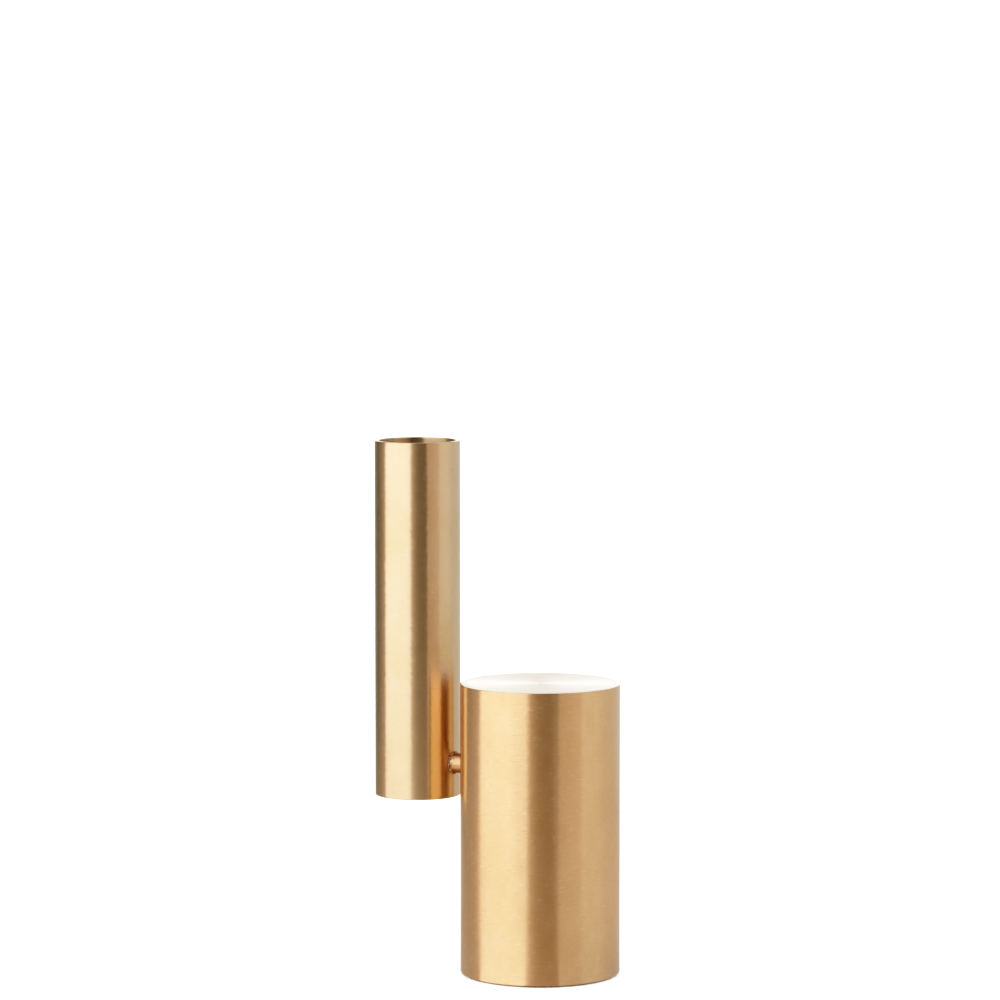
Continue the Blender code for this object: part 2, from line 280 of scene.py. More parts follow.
def brass(
    name,
    tint,
    roughness,
    anisotropy,
    lay="around",
    slant=0.0,
    fine=(150.0, 1000.0),
    coarse=(40.0, 600.0),
    contrast=0.02,
    relief=0.06,
    sway=0.0,
    gloss=0.012,
    specks=0.25,
    root=False,
    metallic=1.0,
    nicks=0.0,
    cant=0.0,
):
    """Brass with a directional finish.

    lay: "around" for brushing that runs round an upright cylinder, "rings" for
    a face turned on a lathe, "pin" for turning marks round the pin. sway tilts
    the brushed strokes a little along their run, which frays the edges of
    reflections without drawing lines inside them. metallic just under 1 leaves
    a trace of haze, which lifts the darkest reflections. nicks adds short stray
    scratches along the brushing, which are a little duller. cant leans the
    shading of all the strokes by a fixed amount, set so that the stripes fall
    where the photo has them; it stands in for lamps at a finite distance.
    """
    mat, tree, shader = new_material(name)
    where = add(tree, "ShaderNodeTexCoord").outputs["Object"]
    if lay == "rings":
        flat = scaled(tree, where, (1.0, 1.0, 0.0))
        radius = add(
            tree, "ShaderNodeVectorMath", {0: flat}, operation="LENGTH"
        ).outputs["Value"]

        def marks(along, across):
            line = add(
                tree,
                "ShaderNodeCombineXYZ",
                {"Z": maths(tree, "MULTIPLY", radius, across)},
            ).outputs["Vector"]
            spread = scaled(tree, where, (along, along, 0.0))
            return add(
                tree, "ShaderNodeVectorMath", {0: line, 1: spread}, operation="ADD"
            ).outputs["Vector"]

    else:
        turned = where
        if slant:
            turned = add(
                tree,
                "ShaderNodeVectorRotate",
                {"Vector": where, "Axis": (0.5, -0.866, 0.0), "Angle": slant},
                rotation_type="AXIS_ANGLE",
            ).outputs["Vector"]

        def marks(along, across):
            factors = (
                (across, along, along) if lay == "pin" else (along, along, across)
            )
            return scaled(tree, turned, factors)

    hair = grain(tree, marks(*fine), 3.0, 0.65)
    band = grain(tree, marks(*coarse), 2.0, 0.55)
    cloud = grain(tree, scaled(tree, where, (46.0, 46.0, 34.0)), 3.0, 0.6)
    bloom = grain(tree, scaled(tree, where, (130.0, 130.0, 95.0)), 2.0, 0.5)

    lines = maths(
        tree,
        "ADD",
        maths(tree, "MULTIPLY", hair, 0.55),
        maths(tree, "MULTIPLY", band, 0.45),
    )
    deep = tuple(c * (1 - contrast) for c in tint) + (1.0,)
    light = tuple(min(1.0, c * (1 + 0.55 * contrast)) for c in tint) + (1.0,)
    colour = blended(tree, ranged(tree, lines, 0.34, 0.66, 0.0, 1.0), deep, light)
    # a slow, slightly warmer drift over the surface, as handled brass has
    warm = (tint[0] * 0.95, tint[1] * 0.915, tint[2] * 0.83, 1.0)
    colour = blended(tree, ranged(tree, cloud, 0.38, 0.68, 0.0, 0.8), colour, warm)
    pale = (tint[0] * 1.02, tint[1] * 1.025, tint[2] * 1.06, 1.0)
    colour = blended(tree, ranged(tree, bloom, 0.46, 0.70, 0.0, 0.7), colour, pale)
    if nicks:
        stray = grain(tree, marks(340.0, 1500.0), 1.0, 0.5)
        shine = tuple(min(1.0, c * 1.05) for c in tint) + (1.0,)
        shade = tuple(c * 0.90 for c in tint) + (1.0,)
        colour = blended(
            tree, ranged(tree, stray, 0.62, 0.72, 0.0, 5 * nicks), colour, shine
        )
        colour = blended(
            tree, ranged(tree, stray, 0.28, 0.38, 5 * nicks, 0.0), colour, shade
        )
    if specks:
        dots = add(
            tree,
            "ShaderNodeTexVoronoi",
            {"Vector": scaled(tree, where, (260.0, 260.0, 260.0)), "Scale": 1.0},
            feature="F1",
        )
        rare = add(
            tree, "ShaderNodeSeparateColor", {"Color": dots.outputs["Color"]}
        ).outputs["Red"]
        spot = maths(
            tree,
            "MULTIPLY",
            ranged(tree, dots.outputs["Distance"], 0.05, 0.085, 1.0, 0.0),
            ranged(tree, rare, 0.90, 0.93, 0.0, specks),
        )
        dull = (tint[0] * 0.62, tint[1] * 0.52, tint[2] * 0.42, 1.0)
        colour = blended(tree, spot, colour, dull)
    if root:
        # dark flecks of flux left near the brazed end
        from_axis = add(
            tree,
            "ShaderNodeVectorMath",
            {
                0: scaled(
                    tree,
                    add(
                        tree,
                        "ShaderNodeVectorMath",
                        {0: where, 1: (VASE_X, 0.0, 0.0)},
                        operation="SUBTRACT",
                    ).outputs["Vector"],
                    (1.0, 1.0, 0.0),
                )
            },
            operation="LENGTH",
        ).outputs["Value"]
        fleck = grain(tree, scaled(tree, where, (1500.0, 1500.0, 1500.0)), 2.0, 0.6)
        near = ranged(tree, from_axis, VASE_R + 0.7 * MM, VASE_R + 3.2 * MM, 0.16, 0.0)
        stain = ranged(
            tree, maths(tree, "ADD", fleck, near), 0.62, 0.70, 0.0, 0.8
        )
        colour = blended(tree, stain, colour, (0.30, 0.14, 0.07, 1.0))
        # painted shade: the pin is darkened towards its underside, standing in for the
        # shade beneath it
        level = add(tree, "ShaderNodeSeparateXYZ", {0: where}).outputs["Z"]
        under = ranged(tree, level, PIN_Z - 2.6 * MM, PIN_Z + 0.3 * MM, 1.0, 0.0)
        colour = blended(tree, under, colour, (0.66, 0.56, 0.42, 1.0), "MULTIPLY")
    tree.links.new(colour, shader.inputs["Base Color"])
    tree.links.new(
        maths(
            tree,
            "ADD",
            ranged(tree, lines, 0.3, 0.7, roughness - gloss, roughness + gloss),
            ranged(tree, cloud, 0.35, 0.7, -0.008, 0.012),
        ),
        shader.inputs["Roughness"],
    )
    height = maths(
        tree,
        "ADD",
        maths(tree, "MULTIPLY", hair, 0.6),
        maths(tree, "MULTIPLY", band, 0.4),
    )
    bump = add(
        tree,
        "ShaderNodeBump",
        {"Strength": relief, "Distance": 0.00002, "Height": height},
    )
    tree.links.new(bump.outputs["Normal"], shader.inputs["Normal"])
    tangent = add(
        tree,
        "ShaderNodeTangent",
        direction_type="RADIAL",
        axis="X" if lay == "pin" else "Z",
    )
    tree.links.new(tangent.outputs["Tangent"], shader.inputs["Tangent"])
    if sway:
        teeth = grain(tree, marks(300.0, 2300.0), 1.0, 0.5)
        lean = ranged(tree, teeth, 0.3, 0.7, cant - sway, cant + sway)
        tilt = add(
            tree,
            "ShaderNodeVectorMath",
            {
                0: tangent.outputs["Tangent"],
                "Scale": lean,
            },
            operation="SCALE",
        ).outputs["Vector"]
        if nicks:
            nod = maths(
                tree,
                "ADD",
                ranged(tree, stray, 0.62, 0.74, 0.0, nicks),
                ranged(tree, stray, 0.26, 0.38, -nicks, 0.0),
            )
            tilt = add(
                tree,
                "ShaderNodeVectorMath",
                {
                    0: tilt,
                    1: add(tree, "ShaderNodeCombineXYZ", {"Z": nod}).outputs["Vector"],
                },
                operation="ADD",
            ).outputs["Vector"]
        leant = add(
            tree,
            "ShaderNodeVectorMath",
            {0: add(tree, "ShaderNodeNewGeometry").outputs["Normal"], 1: tilt},
            operation="ADD",
        ).outputs["Vector"]
        tree.links.new(
            add(
                tree, "ShaderNodeVectorMath", {0: leant}, operation="NORMALIZE"
            ).outputs["Vector"],
            bump.inputs["Normal"],
        )
    shader.inputs["Metallic"].default_value = metallic
    if nicks:
        tree.links.new(
            ranged(tree, stray, 0.60, 0.70, metallic, metallic - 0.055),
            shader.inputs["Metallic"],
        )
    shader.inputs["Anisotropic"].default_value = anisotropy
    shader.inputs["Anisotropic Rotation"].default_value = 0.25
    return mat


def plain_metal(name, dark, light, roughness, scale, relief, metallic=1.0):
    """Cast, plated or soldered metal: mottled colour, gloss and skin."""
    mat, tree, shader = new_material(name)
    where = add(tree, "ShaderNodeTexCoord").outputs["Object"]
    fine = grain(tree, scaled(tree, where, (scale, scale, scale)), 4.0, 0.6)
    wide = grain(
        tree, scaled(tree, where, (scale * 0.12, scale * 0.12, scale * 0.12)), 2.0, 0.5
    )
    mixed = maths(
        tree,
        "ADD",
        maths(tree, "MULTIPLY", fine, 0.55),
        maths(tree, "MULTIPLY", wide, 0.45),
    )
    tree.links.new(
        blended(
            tree, ranged(tree, mixed, 0.35, 0.65, 0.0, 1.0), (*dark, 1.0), (*light, 1.0)
        ),
        shader.inputs["Base Color"],
    )
    tree.links.new(
        ranged(tree, mixed, 0.3, 0.7, roughness - 0.08, roughness + 0.08),
        shader.inputs["Roughness"],
    )
    bump = add(
        tree,
        "ShaderNodeBump",
        {"Strength": relief, "Distance": 0.0001, "Height": fine},
    )
    tree.links.new(bump.outputs["Normal"], shader.inputs["Normal"])
    shader.inputs["Metallic"].default_value = metallic
    return mat


def felt_material(name):
    mat, tree, shader = new_material(name)
    where = add(tree, "ShaderNodeTexCoord").outputs["Object"]
    fibres = grain(tree, scaled(tree, where, (1600.0, 1600.0, 1600.0)), 5.0, 0.7)
    lumps = grain(tree, scaled(tree, where, (160.0, 160.0, 160.0)), 3.0, 0.6)
    tone = maths(
        tree,
        "ADD",
        maths(tree, "MULTIPLY", fibres, 0.6),
        maths(tree, "MULTIPLY", lumps, 0.4),
    )
    tree.links.new(
        blended(
            tree,
            ranged(tree, tone, 0.35, 0.68, 0.0, 1.0),
            (0.012, 0.012, 0.013, 1.0),
            (0.055, 0.053, 0.052, 1.0),
        ),
        shader.inputs["Base Color"],
    )
    tree.links.new(
        ranged(tree, fibres, 0.3, 0.7, 0.86, 1.0), shader.inputs["Roughness"]
    )
    bump = add(
        tree, "ShaderNodeBump", {"Strength": 0.8, "Distance": 0.0003, "Height": tone}
    )
    tree.links.new(bump.outputs["Normal"], shader.inputs["Normal"])
    shader.inputs["Sheen Weight"].default_value = 0.35
    shader.inputs["Sheen Roughness"].default_value = 0.5
    return mat


BASE_TINT = (0.761, 0.508, 0.286)
VASE_TINT = (0.716, 0.528, 0.332)

base_brass = brass(
    "base_brushed_brass",
    BASE_TINT,
    0.302,
    1.0,
    sway=0.012,
    metallic=0.966,
    nicks=0.09,
)
vase_brass = brass(
    "vase_brushed_brass",
    VASE_TINT,
    0.297,
    0.97,
    slant=math.radians(9),
    sway=0.016,
    nicks=0.06,
    cant=-0.010,
)
# The turned disc is tinted paler than its brass: the extra paleness is a painted
# reflection of the bright backdrop that its face mirrors.
disc_brass = brass(
    "turned_disc_brass",
    (0.83, 0.67, 0.48),
    0.31,
    0.72,
    lay="rings",
    fine=(40.0, 5200.0),
    coarse=(18.0, 1500.0),
    contrast=0.05,
    relief=0.3,
    gloss=0.03,
    specks=0.0,
)
pin_brass = brass(
    "pin_turned_brass",
    (0.77, 0.52, 0.325),
    0.38,
    0.85,
    lay="pin",
    fine=(300.0, 3800.0),
    coarse=(120.0, 1500.0),
    contrast=0.12,
    relief=0.35,
    gloss=0.03,
    specks=0.0,
    root=True,
)
floor_brass = brass(
    "floor_turned_brass",
    (0.70, 0.49, 0.27),
    0.40,
    0.7,
    contrast=0.12,
    relief=0.3,
    gloss=0.03,
    specks=0.0,
)
filler = plain_metal(
    "brazing_filler", (0.10, 0.036, 0.012), (0.86, 0.54, 0.31), 0.34, 1900.0, 0.55
)
solder = plain_metal(
    "soft_solder", (0.40, 0.39, 0.37), (0.66, 0.65, 0.62), 0.42, 900.0, 0.35
)
iron = plain_metal(
    "cast_iron_skin", (0.035, 0.034, 0.034), (0.12, 0.115, 0.11), 0.68, 700.0, 0.8, 0.75
)
zinc = plain_metal(
    "zinc_plating", (0.42, 0.43, 0.44), (0.66, 0.67, 0.68), 0.34, 420.0, 0.12
)
felt = felt_material("pad_felt")

# ------------------------------------------------------------------- pieces

# Base tube. Loops near the ends keep the wall's shading straight, and loops
# near the pin keep its hole local.
outer = [(BASE_R, base_hi.z, 0.35 * MM), (BASE_R, base_lo.z, 0.45 * MM)]
inner = [(BASE_RI, base_lo.z, 0.35 * MM), (BASE_RI, base_hi.z, 0.08 * MM)]
profile = rounded(outer + inner, True)


def with_loops(points, heights):
    """The closed profile with extra points where long walls pass a height."""
    out = []
    for k, p in enumerate(points):
        q = points[(k + 1) % len(points)]
        out.append(p)
        if abs(p[0] - q[0]) < 1e-6 and abs(p[1] - q[1]) > 20 * MM:
            between = [h for h in heights if min(p[1], q[1]) < h < max(p[1], q[1])]
            out += [(p[0], h) for h in sorted(between, reverse=p[1] > q[1])]
    return out


profile = with_loops(
    profile,
    [base_lo.z + 0.7 * MM, PIN_Z - 6 * MM, PIN_Z + 6 * MM, base_hi.z - 0.6 * MM],
)
base_mesh = combined(
    "base_tube_brushed",
    lathe("base_tube_blank", profile, True),
    (
        "DIFFERENCE",
        prism("spigot_hole", keyed_outline(3.65 * MM, 3.15 * MM), -40 * MM, -25 * MM),
    ),
)
piece("base_tube_brushed", base_mesh, base_brass, "brushed_brass", "base_tube")
# its upper end is faced in one cut with the disc, so it wears the same finish; the upper
# half of the edge round takes the disc's paler tint too, a painted highlight along the
# rim
base_mesh.materials.append(disc_brass)
for face in base_mesh.polygons:
    if face.center.z > base_hi.z - 0.5 * MM and face.normal.z > 0.5:
        face.material_index = 1

# Top disc with its tapped boss.
disc_r = disc_hi.x
top = disc_hi.z
boss_z = disc_lo.z
disc_profile = rounded(
    [
        (0.0, top, 0),
        (disc_r - 0.3 * MM, top, 0),
        (disc_r, top, 0.08 * MM),
        (disc_r, top - 4 * MM, 0.2 * MM),
        (10 * MM, top - 4 * MM, 0.8 * MM),
        (10 * MM, boss_z, 0.4 * MM),
        (3.25 * MM, boss_z, 0.3 * MM),
        (3.25 * MM, top - 7 * MM, 0),
        (0.0, top - 5.5 * MM, 0),
    ],
    False,
    4,
)
piece(
    "base_top_disc_turned",
    lathe("base_top_disc_turned", disc_profile, False),
    disc_brass,
    "turned_brass",
    "base_top_disc",
)

# Vase tube: the rim is broken inside and out.
vase_profile = rounded(
    [
        (VASE_R, vase_hi.z, 0.35 * MM),
        (VASE_R, vase_lo.z, 0.40 * MM),
        (VASE_RI, vase_lo.z, 0.40 * MM),
        (VASE_RI, vase_hi.z, 0.35 * MM),
    ],
    True,
)
vase_profile = with_loops(
    vase_profile, [vase_lo.z + 0.65 * MM, vase_hi.z - 0.6 * MM]
)
piece(
    "vase_tube_brushed",
    lathe("vase_tube_brushed", vase_profile, True, centre=(VASE_X, 0.0)),
    vase_brass,
    "brushed_brass",
    "vase_tube",
)

# Floor of the vase and the solder fillet around it.
floor_r = (floor_hi.x - floor_lo.x) / 2
floor_profile = rounded(
    [
        (0.0, floor_hi.z, 0),
        (floor_r - 0.4 * MM, floor_hi.z, 0),
        (floor_r, floor_hi.z, 0.1 * MM),
        (floor_r, floor_lo.z, 0.4 * MM),
        (floor_r - 0.7 * MM, floor_lo.z, 0),
        (0.0, floor_lo.z, 0),
    ],
    False,
)
piece(
    "vase_floor_turned",
    lathe("vase_floor_turned", floor_profile, False, centre=(VASE_X, 0.0)),
    floor_brass,
    "turned_brass",
    "vase_floor",
)

solder_h = solder_hi.z - solder_lo.z


def solder_wave(r, z, t):
    """Soldered by hand: the fillet's free edges run in and out a little."""
    n = noise.noise(Vector((3.2 * math.cos(t), 3.2 * math.sin(t), 4.7)))
    m = noise.noise(Vector((11 * math.cos(t), 11 * math.sin(t), 9.1)))
    s = 0.82 + 0.14 * n + 0.06 * m
    return (
        floor_r - (floor_r - r) * s,
        solder_lo.z + (z - solder_lo.z) * s,
    )


solder_profile = [
    (floor_r, solder_lo.z + solder_h),
    (floor_r, solder_lo.z),
    (floor_r - solder_h, solder_lo.z),
    (floor_r - 0.62 * solder_h, solder_lo.z + 0.16 * solder_h),
    (floor_r - 0.36 * solder_h, solder_lo.z + 0.36 * solder_h),
    (floor_r - 0.16 * solder_h, solder_lo.z + 0.62 * solder_h),
]
piece(
    "floor_solder_bead",
    lathe(
        "floor_solder_bead",
        solder_profile,
        True,
        192,
        centre=(VASE_X, 0.0),
        wobble=solder_wave,
    ),
    solder,
    "soft_solder",
    "floor_solder_ring",
)


# Connector pin: coped at the tube, keyed and tapped at the base.
def pin_blank():
    bm = bmesh.new()
    edge = 0.3 * MM
    stations = [(VASE_X + 10 * MM, PIN_R), (SHOULDER_X - edge - 0.2 * MM, PIN_R)]
    stations += [
        (
            SHOULDER_X - edge + edge * math.sin(a),
            PIN_R - edge + edge * math.cos(a),
        )
        for a in (0.0, 0.4, 0.8, 1.2, math.pi / 2)
    ]
    rings = []
    for x, r in stations:
        rings.append([bm.verts.new((x, y, PIN_Z + z)) for y, z in round_outline(r)])
    bm.faces.new(rings[0])
    bm.faces.new(list(reversed(rings[-1])))
    for a, b in zip(rings, rings[1:]):
        for k in range(len(a)):
            j = (k + 1) % len(a)
            bm.faces.new((a[k], a[j], b[j], b[k]))
    return finish_mesh("pin_blank", bm)


cope_profile = [
    (0.0, PIN_Z + 15 * MM),
    (VASE_R + 0.06 * MM, PIN_Z + 15 * MM),
    (VASE_R + 0.06 * MM, PIN_Z - 15 * MM),
    (0.0, PIN_Z - 15 * MM),
]
pin_mesh = combined(
    "connector_pin_turned",
    pin_blank(),
    (
        "UNION",
        prism(
            "pin_spigot",
            keyed_outline(3.4 * MM, 2.9 * MM),
            SHOULDER_X - 2 * MM,
            SPIGOT_END_X,
        ),
    ),
    (
        "DIFFERENCE",
        prism("pin_tap", round_outline(2.2 * MM, 48), -42.0 * MM, -30 * MM),
    ),
    (
        "DIFFERENCE",
        lathe("pin_cope", cope_profile, False, SEG, centre=(VASE_X, 0.0)),
    ),
)
piece("connector_pin_turned", pin_mesh, pin_brass, "pin_brass", "connector_pin")


# Bead of brazing filler at the pin's root: a row of small uneven lumps.
def braze_bead():
    bm = bmesh.new()
    around, across, gap = 384, 9, 0.07 * MM
    count = 23
    lumps = []
    for k in range(count):
        pick = [noise.cell(Vector((k + 0.5, i + 0.5, 2.5))) for i in range(4)]
        centre = 2 * math.pi * (k + 0.30 * pick[0]) / count
        lumps.append(
            (centre, 0.135 + 0.035 * pick[1], 0.75 + 0.25 * pick[2], 0.6 + 0.4 * pick[3])
        )
    rings = []
    for k in range(around):
        t = 2 * math.pi * k / around
        foot = crest = 0.0
        for centre, width, low, high in lumps:
            off = (t - centre + math.pi) % (2 * math.pi) - math.pi
            dome = math.sqrt(max(0.0, 1 - (off / width) ** 2))
            foot, crest = max(foot, low * dome), max(crest, high * dome)
        leg = (0.12 + 0.43 * foot) * MM
        rise = (0.16 + 0.80 * crest) * MM
        dir_y, dir_z = math.cos(t), math.sin(t)

        def at(out, up):
            y = (PIN_R + gap + out) * dir_y
            z = (PIN_R + gap + out) * dir_z
            x = VASE_X + math.sqrt(VASE_R**2 - y**2) + 2 * gap + up
            return bm.verts.new((x, y, PIN_Z + z))

        ring = [at(0.0, 0.0)]
        for i in range(across):
            a = 0.5 * math.pi * i / (across - 1)
            ring.append(at(leg * math.cos(a), rise * math.sin(a)))
        rings.append(ring)
    for k, ring in enumerate(rings):
        after = rings[(k + 1) % around]
        for i in range(len(ring)):
            j = (i + 1) % len(ring)
            bm.faces.new((ring[i], ring[j], after[j], after[i]))
    return finish_mesh("pin_braze_bead", bm, 60)


piece("pin_braze_bead", braze_bead(), filler, "brazing_filler", "pin_braze_fillet")


# Felt pad: soft, slightly uneven edge.
def felt_wave(r, z, t):
    n = noise.noise(Vector((22 * math.cos(t), 22 * math.sin(t), 60 * z / MM * 0.02)))
    m = noise.noise(Vector((r / MM * 0.4, 8 * math.cos(t), 8 * math.sin(t))))
    edge = r > 0.98 * pad_hi.x
    return (
        r + (0.12 * MM * (n - 0.6) if edge else 0.0),
        z if z < 0.05 * MM else z + (0.05 * MM * (m - 1.0)),
    )


pad_profile = rounded(
    [
        (0.0, pad_hi.z, 0),
        (0.5 * pad_hi.x, pad_hi.z, 0),
        (pad_hi.x, pad_hi.z, 0.3 * MM),
        (pad_hi.x, 0.0, 0.5 * MM),
        (0.5 * pad_hi.x, 0.0, 0),
        (0.0, 0.0, 0),
    ],
    False,
)
piece(
    "foot_pad_felt",
    lathe("foot_pad_felt", pad_profile, False, wobble=felt_wave),
    felt,
    "pad_felt",
    "foot_pad",
)

# Pieces inside the base keep their CAD solids, with their own finish.
inside = {
    "ballast_weight": iron,
    "base_plate": zinc,
    "tie_screw": zinc,
    "tie_sleeve": zinc,
    "connector_screw": zinc,
    "lock_washer": zinc,
    "saddle_washer": floor_brass,
    "disc_braze_ring": filler,
}
for name, mat in inside.items():
    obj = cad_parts[name]
    obj.data.materials.clear()
    obj.data.materials.append(mat)

# -------------------------------------------------------------------- stage

AZIMUTH = math.radians(30.0)
PITCH = math.radians(5.1293)

cam_data = bpy.data.cameras.new("camera")
cam_data.sensor_width = 36.0
cam_data.lens = 36.0 * 4.2497
cam_data.clip_start, cam_data.clip_end = 0.05, 50.0
camera = bpy.data.objects.new("camera", cam_data)
camera.location = (0.90612, -1.6046, 0.37368)
camera.rotation_euler = (math.radians(90) - PITCH, 0.0, AZIMUTH)
bpy.context.scene.collection.objects.link(camera)
bpy.context.scene.camera = camera


def sector_angle(tree, vector):
    """Degrees round the object: 0 towards the camera, negative to its left."""
    parts = add(tree, "ShaderNodeSeparateXYZ", {"Vector": vector})
    x, y = parts.outputs["X"], parts.outputs["Y"]
    near = maths(
        tree,
        "SUBTRACT",
        maths(tree, "MULTIPLY", x, math.sin(AZIMUTH)),
        maths(tree, "MULTIPLY", y, math.cos(AZIMUTH)),
    )
    side = maths(
        tree,
        "ADD",
        maths(tree, "MULTIPLY", x, math.cos(AZIMUTH)),
        maths(tree, "MULTIPLY", y, math.sin(AZIMUTH)),
    )
    angle = maths(tree, "ARCTAN2", side, near)
    return maths(tree, "MULTIPLY", angle, 180 / math.pi), parts.outputs["Z"]


def sectors(tree, angle, stops):
    """A ring of light around the object from (degrees, colour) stops."""
    ramp = add(tree, "ShaderNodeValToRGB", {"Fac": ranged(tree, angle, -180, 180, 0, 1)})
    elements = ramp.color_ramp.elements
    ordered = sorted(stops)
    while len(elements) < len(ordered):
        elements.new(0.5)
    for element, (deg, colour) in zip(elements, ordered):
        element.position = (deg + 180) / 360
    for element, (deg, colour) in zip(elements, ordered):
        element.color = (*colour, 1.0)
    return ramp.outputs["Color"]


# A large soft box to the left, a dark gap where the camera stands, a broad dim
# fill to the right.
ROOM = [
    (-180, (1.35, 1.17, 0.92)),
    (-171, (1.22, 1.07, 0.86)),
    (-163, (0.46, 0.47, 0.50)),
    (-152, (0.38, 0.40, 0.42)),
    (-138, (0.23, 0.235, 0.195)),
    (-120, (0.36, 0.315, 0.285)),
    (-104, (0.60, 0.53, 0.49)),
    (-98.6, (0.66, 0.58, 0.53)),
    (-95.6, (2.27, 2.27, 2.32)),
    (-20.1, (2.22, 2.22, 2.27)),
    (-17.7, (0.84, 0.80, 0.74)),
    (-11.7, (0.52, 0.48, 0.42)),
    (-4, (0.31, 0.29, 0.24)),
    (5, (0.215, 0.21, 0.175)),
    (21, (0.215, 0.205, 0.165)),
    (26.0, (0.11, 0.105, 0.08)),
    (27.0, (0.93, 0.79, 0.73)),
    (31, (0.74, 0.62, 0.56)),
    (57, (0.91, 0.77, 0.70)),
    (60.9, (0.86, 0.72, 0.65)),
    (62.1, (1.13, 1.12, 1.11)),
    (67, (1.07, 1.06, 1.05)),
    (92, (1.07, 1.06, 1.05)),
    (105, (0.91, 0.93, 0.95)),
    (164, (0.78, 0.82, 0.86)),
    (172, (1.15, 1.03, 0.86)),
    (180, (1.35, 1.17, 0.92)),
]
# The table around the foot, evenly lit but for the side under the soft box: it
# lifts the dark stripes lower down.
TABLE = [
    (-180, (1.05, 0.92, 0.75)),
    (-163, (0.58, 0.53, 0.52)),
    (-98.2, (0.67, 0.60, 0.58)),
    (-95.4, (1.50, 1.50, 1.50)),
    (-24.5, (1.48, 1.48, 1.48)),
    (-20.5, (0.78, 0.66, 0.60)),
    (-6, (0.64, 0.51, 0.44)),
    (25.4, (0.64, 0.50, 0.43)),
    (27.0, (0.84, 0.80, 0.77)),
    (60.4, (0.90, 0.87, 0.85)),
    (62.6, (0.98, 0.95, 0.93)),
    (92, (0.98, 0.94, 0.92)),
    (130, (0.80, 0.73, 0.70)),
    (166, (0.78, 0.73, 0.72)),
    (180, (1.05, 0.92, 0.75)),
]
# Further out it is dimmer and warmer.
TABLE_FAR = [
    (-180, (1.15, 1.00, 0.80)),
    (-163, (0.65, 0.57, 0.51)),
    (-103, (0.76, 0.67, 0.60)),
    (-99, (1.32, 1.19, 1.04)),
    (-33, (1.29, 1.16, 1.01)),
    (-26, (0.62, 0.47, 0.36)),
    (-8, (0.52, 0.365, 0.245)),
    (25.4, (0.53, 0.36, 0.24)),
    (27.0, (0.70, 0.60, 0.50)),
    (60.4, (0.755, 0.655, 0.55)),
    (62.6, (0.82, 0.715, 0.60)),
    (92, (0.82, 0.71, 0.60)),
    (130, (0.67, 0.55, 0.455)),
    (166, (0.655, 0.55, 0.465)),
    (180, (1.15, 1.00, 0.80)),
]

world = bpy.data.worlds.new("studio")
bpy.context.scene.world = world
world.use_nodes = True
tree = world.node_tree
tree.nodes.clear()
where = add(tree, "ShaderNodeTexCoord").outputs["Generated"]
angle, up = sector_angle(tree, where)
ring = sectors(tree, angle, ROOM)
# bright backdrop straight behind the object
behind = maths(
    tree,
    "MULTIPLY",
    ranged(tree, maths(tree, "ABSOLUTE", angle, 0.0), 153, 168, 0.0, 1.0),
    maths(
        tree,
        "MULTIPLY",
        ranged(tree, up, 0.0, 0.03, 0.0, 1.0),
        ranged(tree, up, 0.50, 0.85, 1.0, 0.0),
    ),
)
ring = blended(tree, behind, ring, (1.86, 2.04, 2.24, 1.0))
# dim ceiling
ring = blended(
    tree, ranged(tree, up, 0.94, 1.0, 0.0, 1.0), ring, (0.22, 0.20, 0.18, 1.0)
)
# and dark high up at the back
over = maths(
    tree,
    "MULTIPLY",
    ranged(tree, maths(tree, "ABSOLUTE", angle, 0.0), 100, 135, 0.0, 1.0),
    ranged(tree, up, 0.45, 0.70, 0.0, 1.0),
)
ring = blended(tree, over, ring, (0.20, 0.14, 0.10, 1.0))
paths = add(tree, "ShaderNodeLightPath")
seen = blended(tree, paths.outputs["Is Camera Ray"], ring, (2.2, 2.2, 2.2, 1.0))
shade = add(tree, "ShaderNodeBackground", {"Color": seen, "Strength": 1.0})
out = add(tree, "ShaderNodeOutputWorld")
tree.links.new(shade.outputs["Background"], out.inputs["Surface"])


def stage_disc(name, radius, z, segments=128):
    bm = bmesh.new()
    bmesh.ops.create_circle(bm, cap_ends=True, radius=radius, segments=segments)
    bmesh.ops.translate(bm, verts=bm.verts, vec=(0, 0, z))
    mesh = bpy.data.meshes.new(name)
    bm.to_mesh(mesh)
    bm.free()
    obj = bpy.data.objects.new(name, mesh)
    bpy.context.scene.collection.objects.link(obj)
    return obj


# Pale floor: seen by the camera, and open from below.
floor = stage_disc("floor", 12.0, -0.0002)
mat, tree, shader = new_material("floor_paper")
tex = add(tree, "ShaderNodeTexCoord").outputs["Object"]
pulp = grain(tree, scaled(tree, tex, (300.0, 300.0, 300.0)), 3.0, 0.6)
tree.links.new(
    blended(
        tree,
        ranged(tree, pulp, 0.3, 0.7, 0.0, 1.0),
        (0.90, 0.90, 0.895, 1.0),
        (0.93, 0.93, 0.925, 1.0),
    ),
    shader.inputs["Base Color"],
)
shader.inputs["Roughness"].default_value = 0.9
shader.inputs["Specular IOR Level"].default_value = 0.0
side = add(tree, "ShaderNodeNewGeometry").outputs["Backfacing"]
clear = add(tree, "ShaderNodeBsdfTransparent")
mix = add(tree, "ShaderNodeMixShader", {0: side})
tree.links.new(shader.outputs["BSDF"], mix.inputs[1])
tree.links.new(clear.outputs["BSDF"], mix.inputs[2])
tree.links.new(
    mix.outputs["Shader"], tree.nodes["Material Output"].inputs["Surface"]
)
floor.data.materials.append(mat)
for way in ("diffuse", "glossy", "transmission", "volume_scatter", "shadow"):
    setattr(floor, "visible_" + way, False)

# The lit table top as the metal sees it.
table = stage_disc("table_bounce", 0.45, -0.0006)
mat, tree, shader = new_material("table_bounce")
tree.nodes.remove(shader)
tex = add(tree, "ShaderNodeTexCoord").outputs["Object"]
reach = add(
    tree,
    "ShaderNodeVectorMath",
    {0: scaled(tree, tex, (1.0, 1.0, 0.0))},
    operation="LENGTH",
).outputs["Value"]
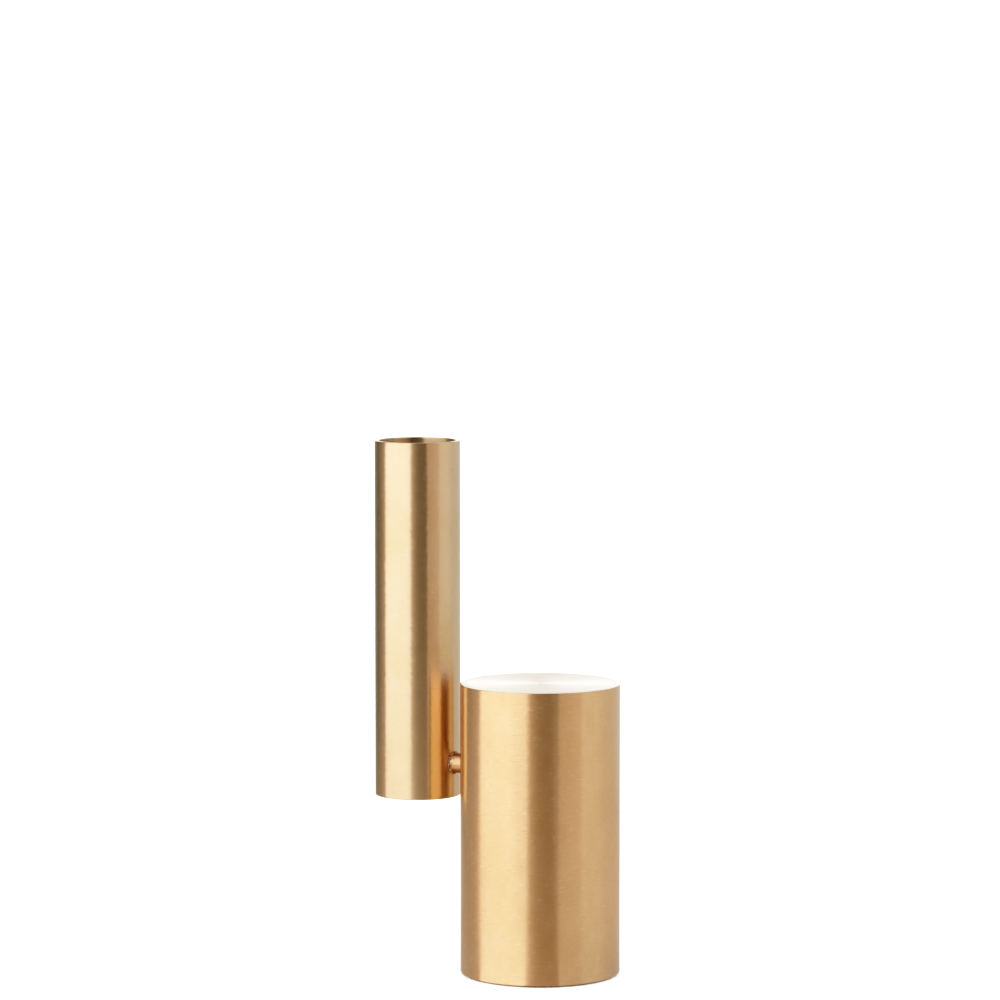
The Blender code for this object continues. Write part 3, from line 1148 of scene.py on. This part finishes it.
# Close to the foot the sectors start from the base, further out from the tube,
# which is higher up and mirrors that part.
offset = add(
    tree,
    "ShaderNodeCombineXYZ",
    {"X": ranged(tree, reach, 0.10, 0.28, 0.0, VASE_X)},
).outputs["Vector"]
angle, _ = sector_angle(
    tree,
    add(
        tree, "ShaderNodeVectorMath", {0: tex, 1: offset}, operation="SUBTRACT"
    ).outputs["Vector"],
)
# The base mirrors each spot of the table in a direction that leans a little
# from the spot's own bearing; allowing for that keeps its stripes straight.
ratio = maths(tree, "DIVIDE", BASE_R, maths(tree, "MAXIMUM", reach, BASE_R))
lean = angle
for _ in range(4):
    half = maths(tree, "MULTIPLY", lean, math.pi / 360)
    shift = maths(
        tree,
        "ARCSINE",
        maths(tree, "MULTIPLY", ratio, maths(tree, "SINE", half, 0.0)),
        0.0,
    )
    lean = maths(tree, "ADD", angle, maths(tree, "MULTIPLY", shift, 180 / math.pi))
lit = blended(
    tree,
    ranged(tree, reach, 0.06, 0.30, 0.0, 1.0),
    sectors(tree, lean, TABLE),
    sectors(tree, lean, TABLE_FAR),
)
# the side away from the soft box is in shade close to the foot
lee = maths(
    tree,
    "MULTIPLY",
    ranged(tree, reach, 0.05, 0.15, 1.0, 0.0),
    ranged(tree, lean, 20, 64, 0.0, 1.0),
)
lit = blended(tree, lee, lit, (0.72, 0.76, 0.82, 1.0), "MULTIPLY")
glow = add(tree, "ShaderNodeEmission", {"Color": lit, "Strength": 1.1})
tree.links.new(
    glow.outputs["Emission"], tree.nodes["Material Output"].inputs["Surface"]
)
table.data.materials.append(mat)
for way in ("camera", "diffuse", "transmission", "volume_scatter", "shadow"):
    setattr(table, "visible_" + way, False)

# Even light from above for the floor and the matt pieces.
sky_data = bpy.data.lights.new("overhead", "SUN")
sky_data.energy = 6.5
sky_data.angle = math.radians(150)
sky = bpy.data.objects.new("overhead", sky_data)
sky.location = (0.0, 0.0, 2.2)
sky.visible_glossy = False
sky.visible_camera = False
bpy.context.scene.collection.objects.link(sky)

# Tone: straight display colour with a soft shoulder and toe.
view = bpy.context.scene.view_settings
view.view_transform = "Standard"
view.look = "None"
view.exposure = 0.0
view.gamma = 1.0
view.use_curve_mapping = True
tone = view.curve_mapping
tone.white_level = (1.6, 1.6, 1.6)
tone.extend = "HORIZONTAL"
curve = tone.curves[3]
TONE = [
    (0.02, 0.0045),
    (0.05, 0.02),
    (0.1, 0.055),
    (0.2, 0.145),
    (0.3, 0.24),
    (0.5, 0.43),
    (0.7, 0.60),
    (1.0, 0.80),
    (1.5, 0.98),
]
for light, shown in TONE:
    curve.points.new(light / 1.6, shown)
tone.update()
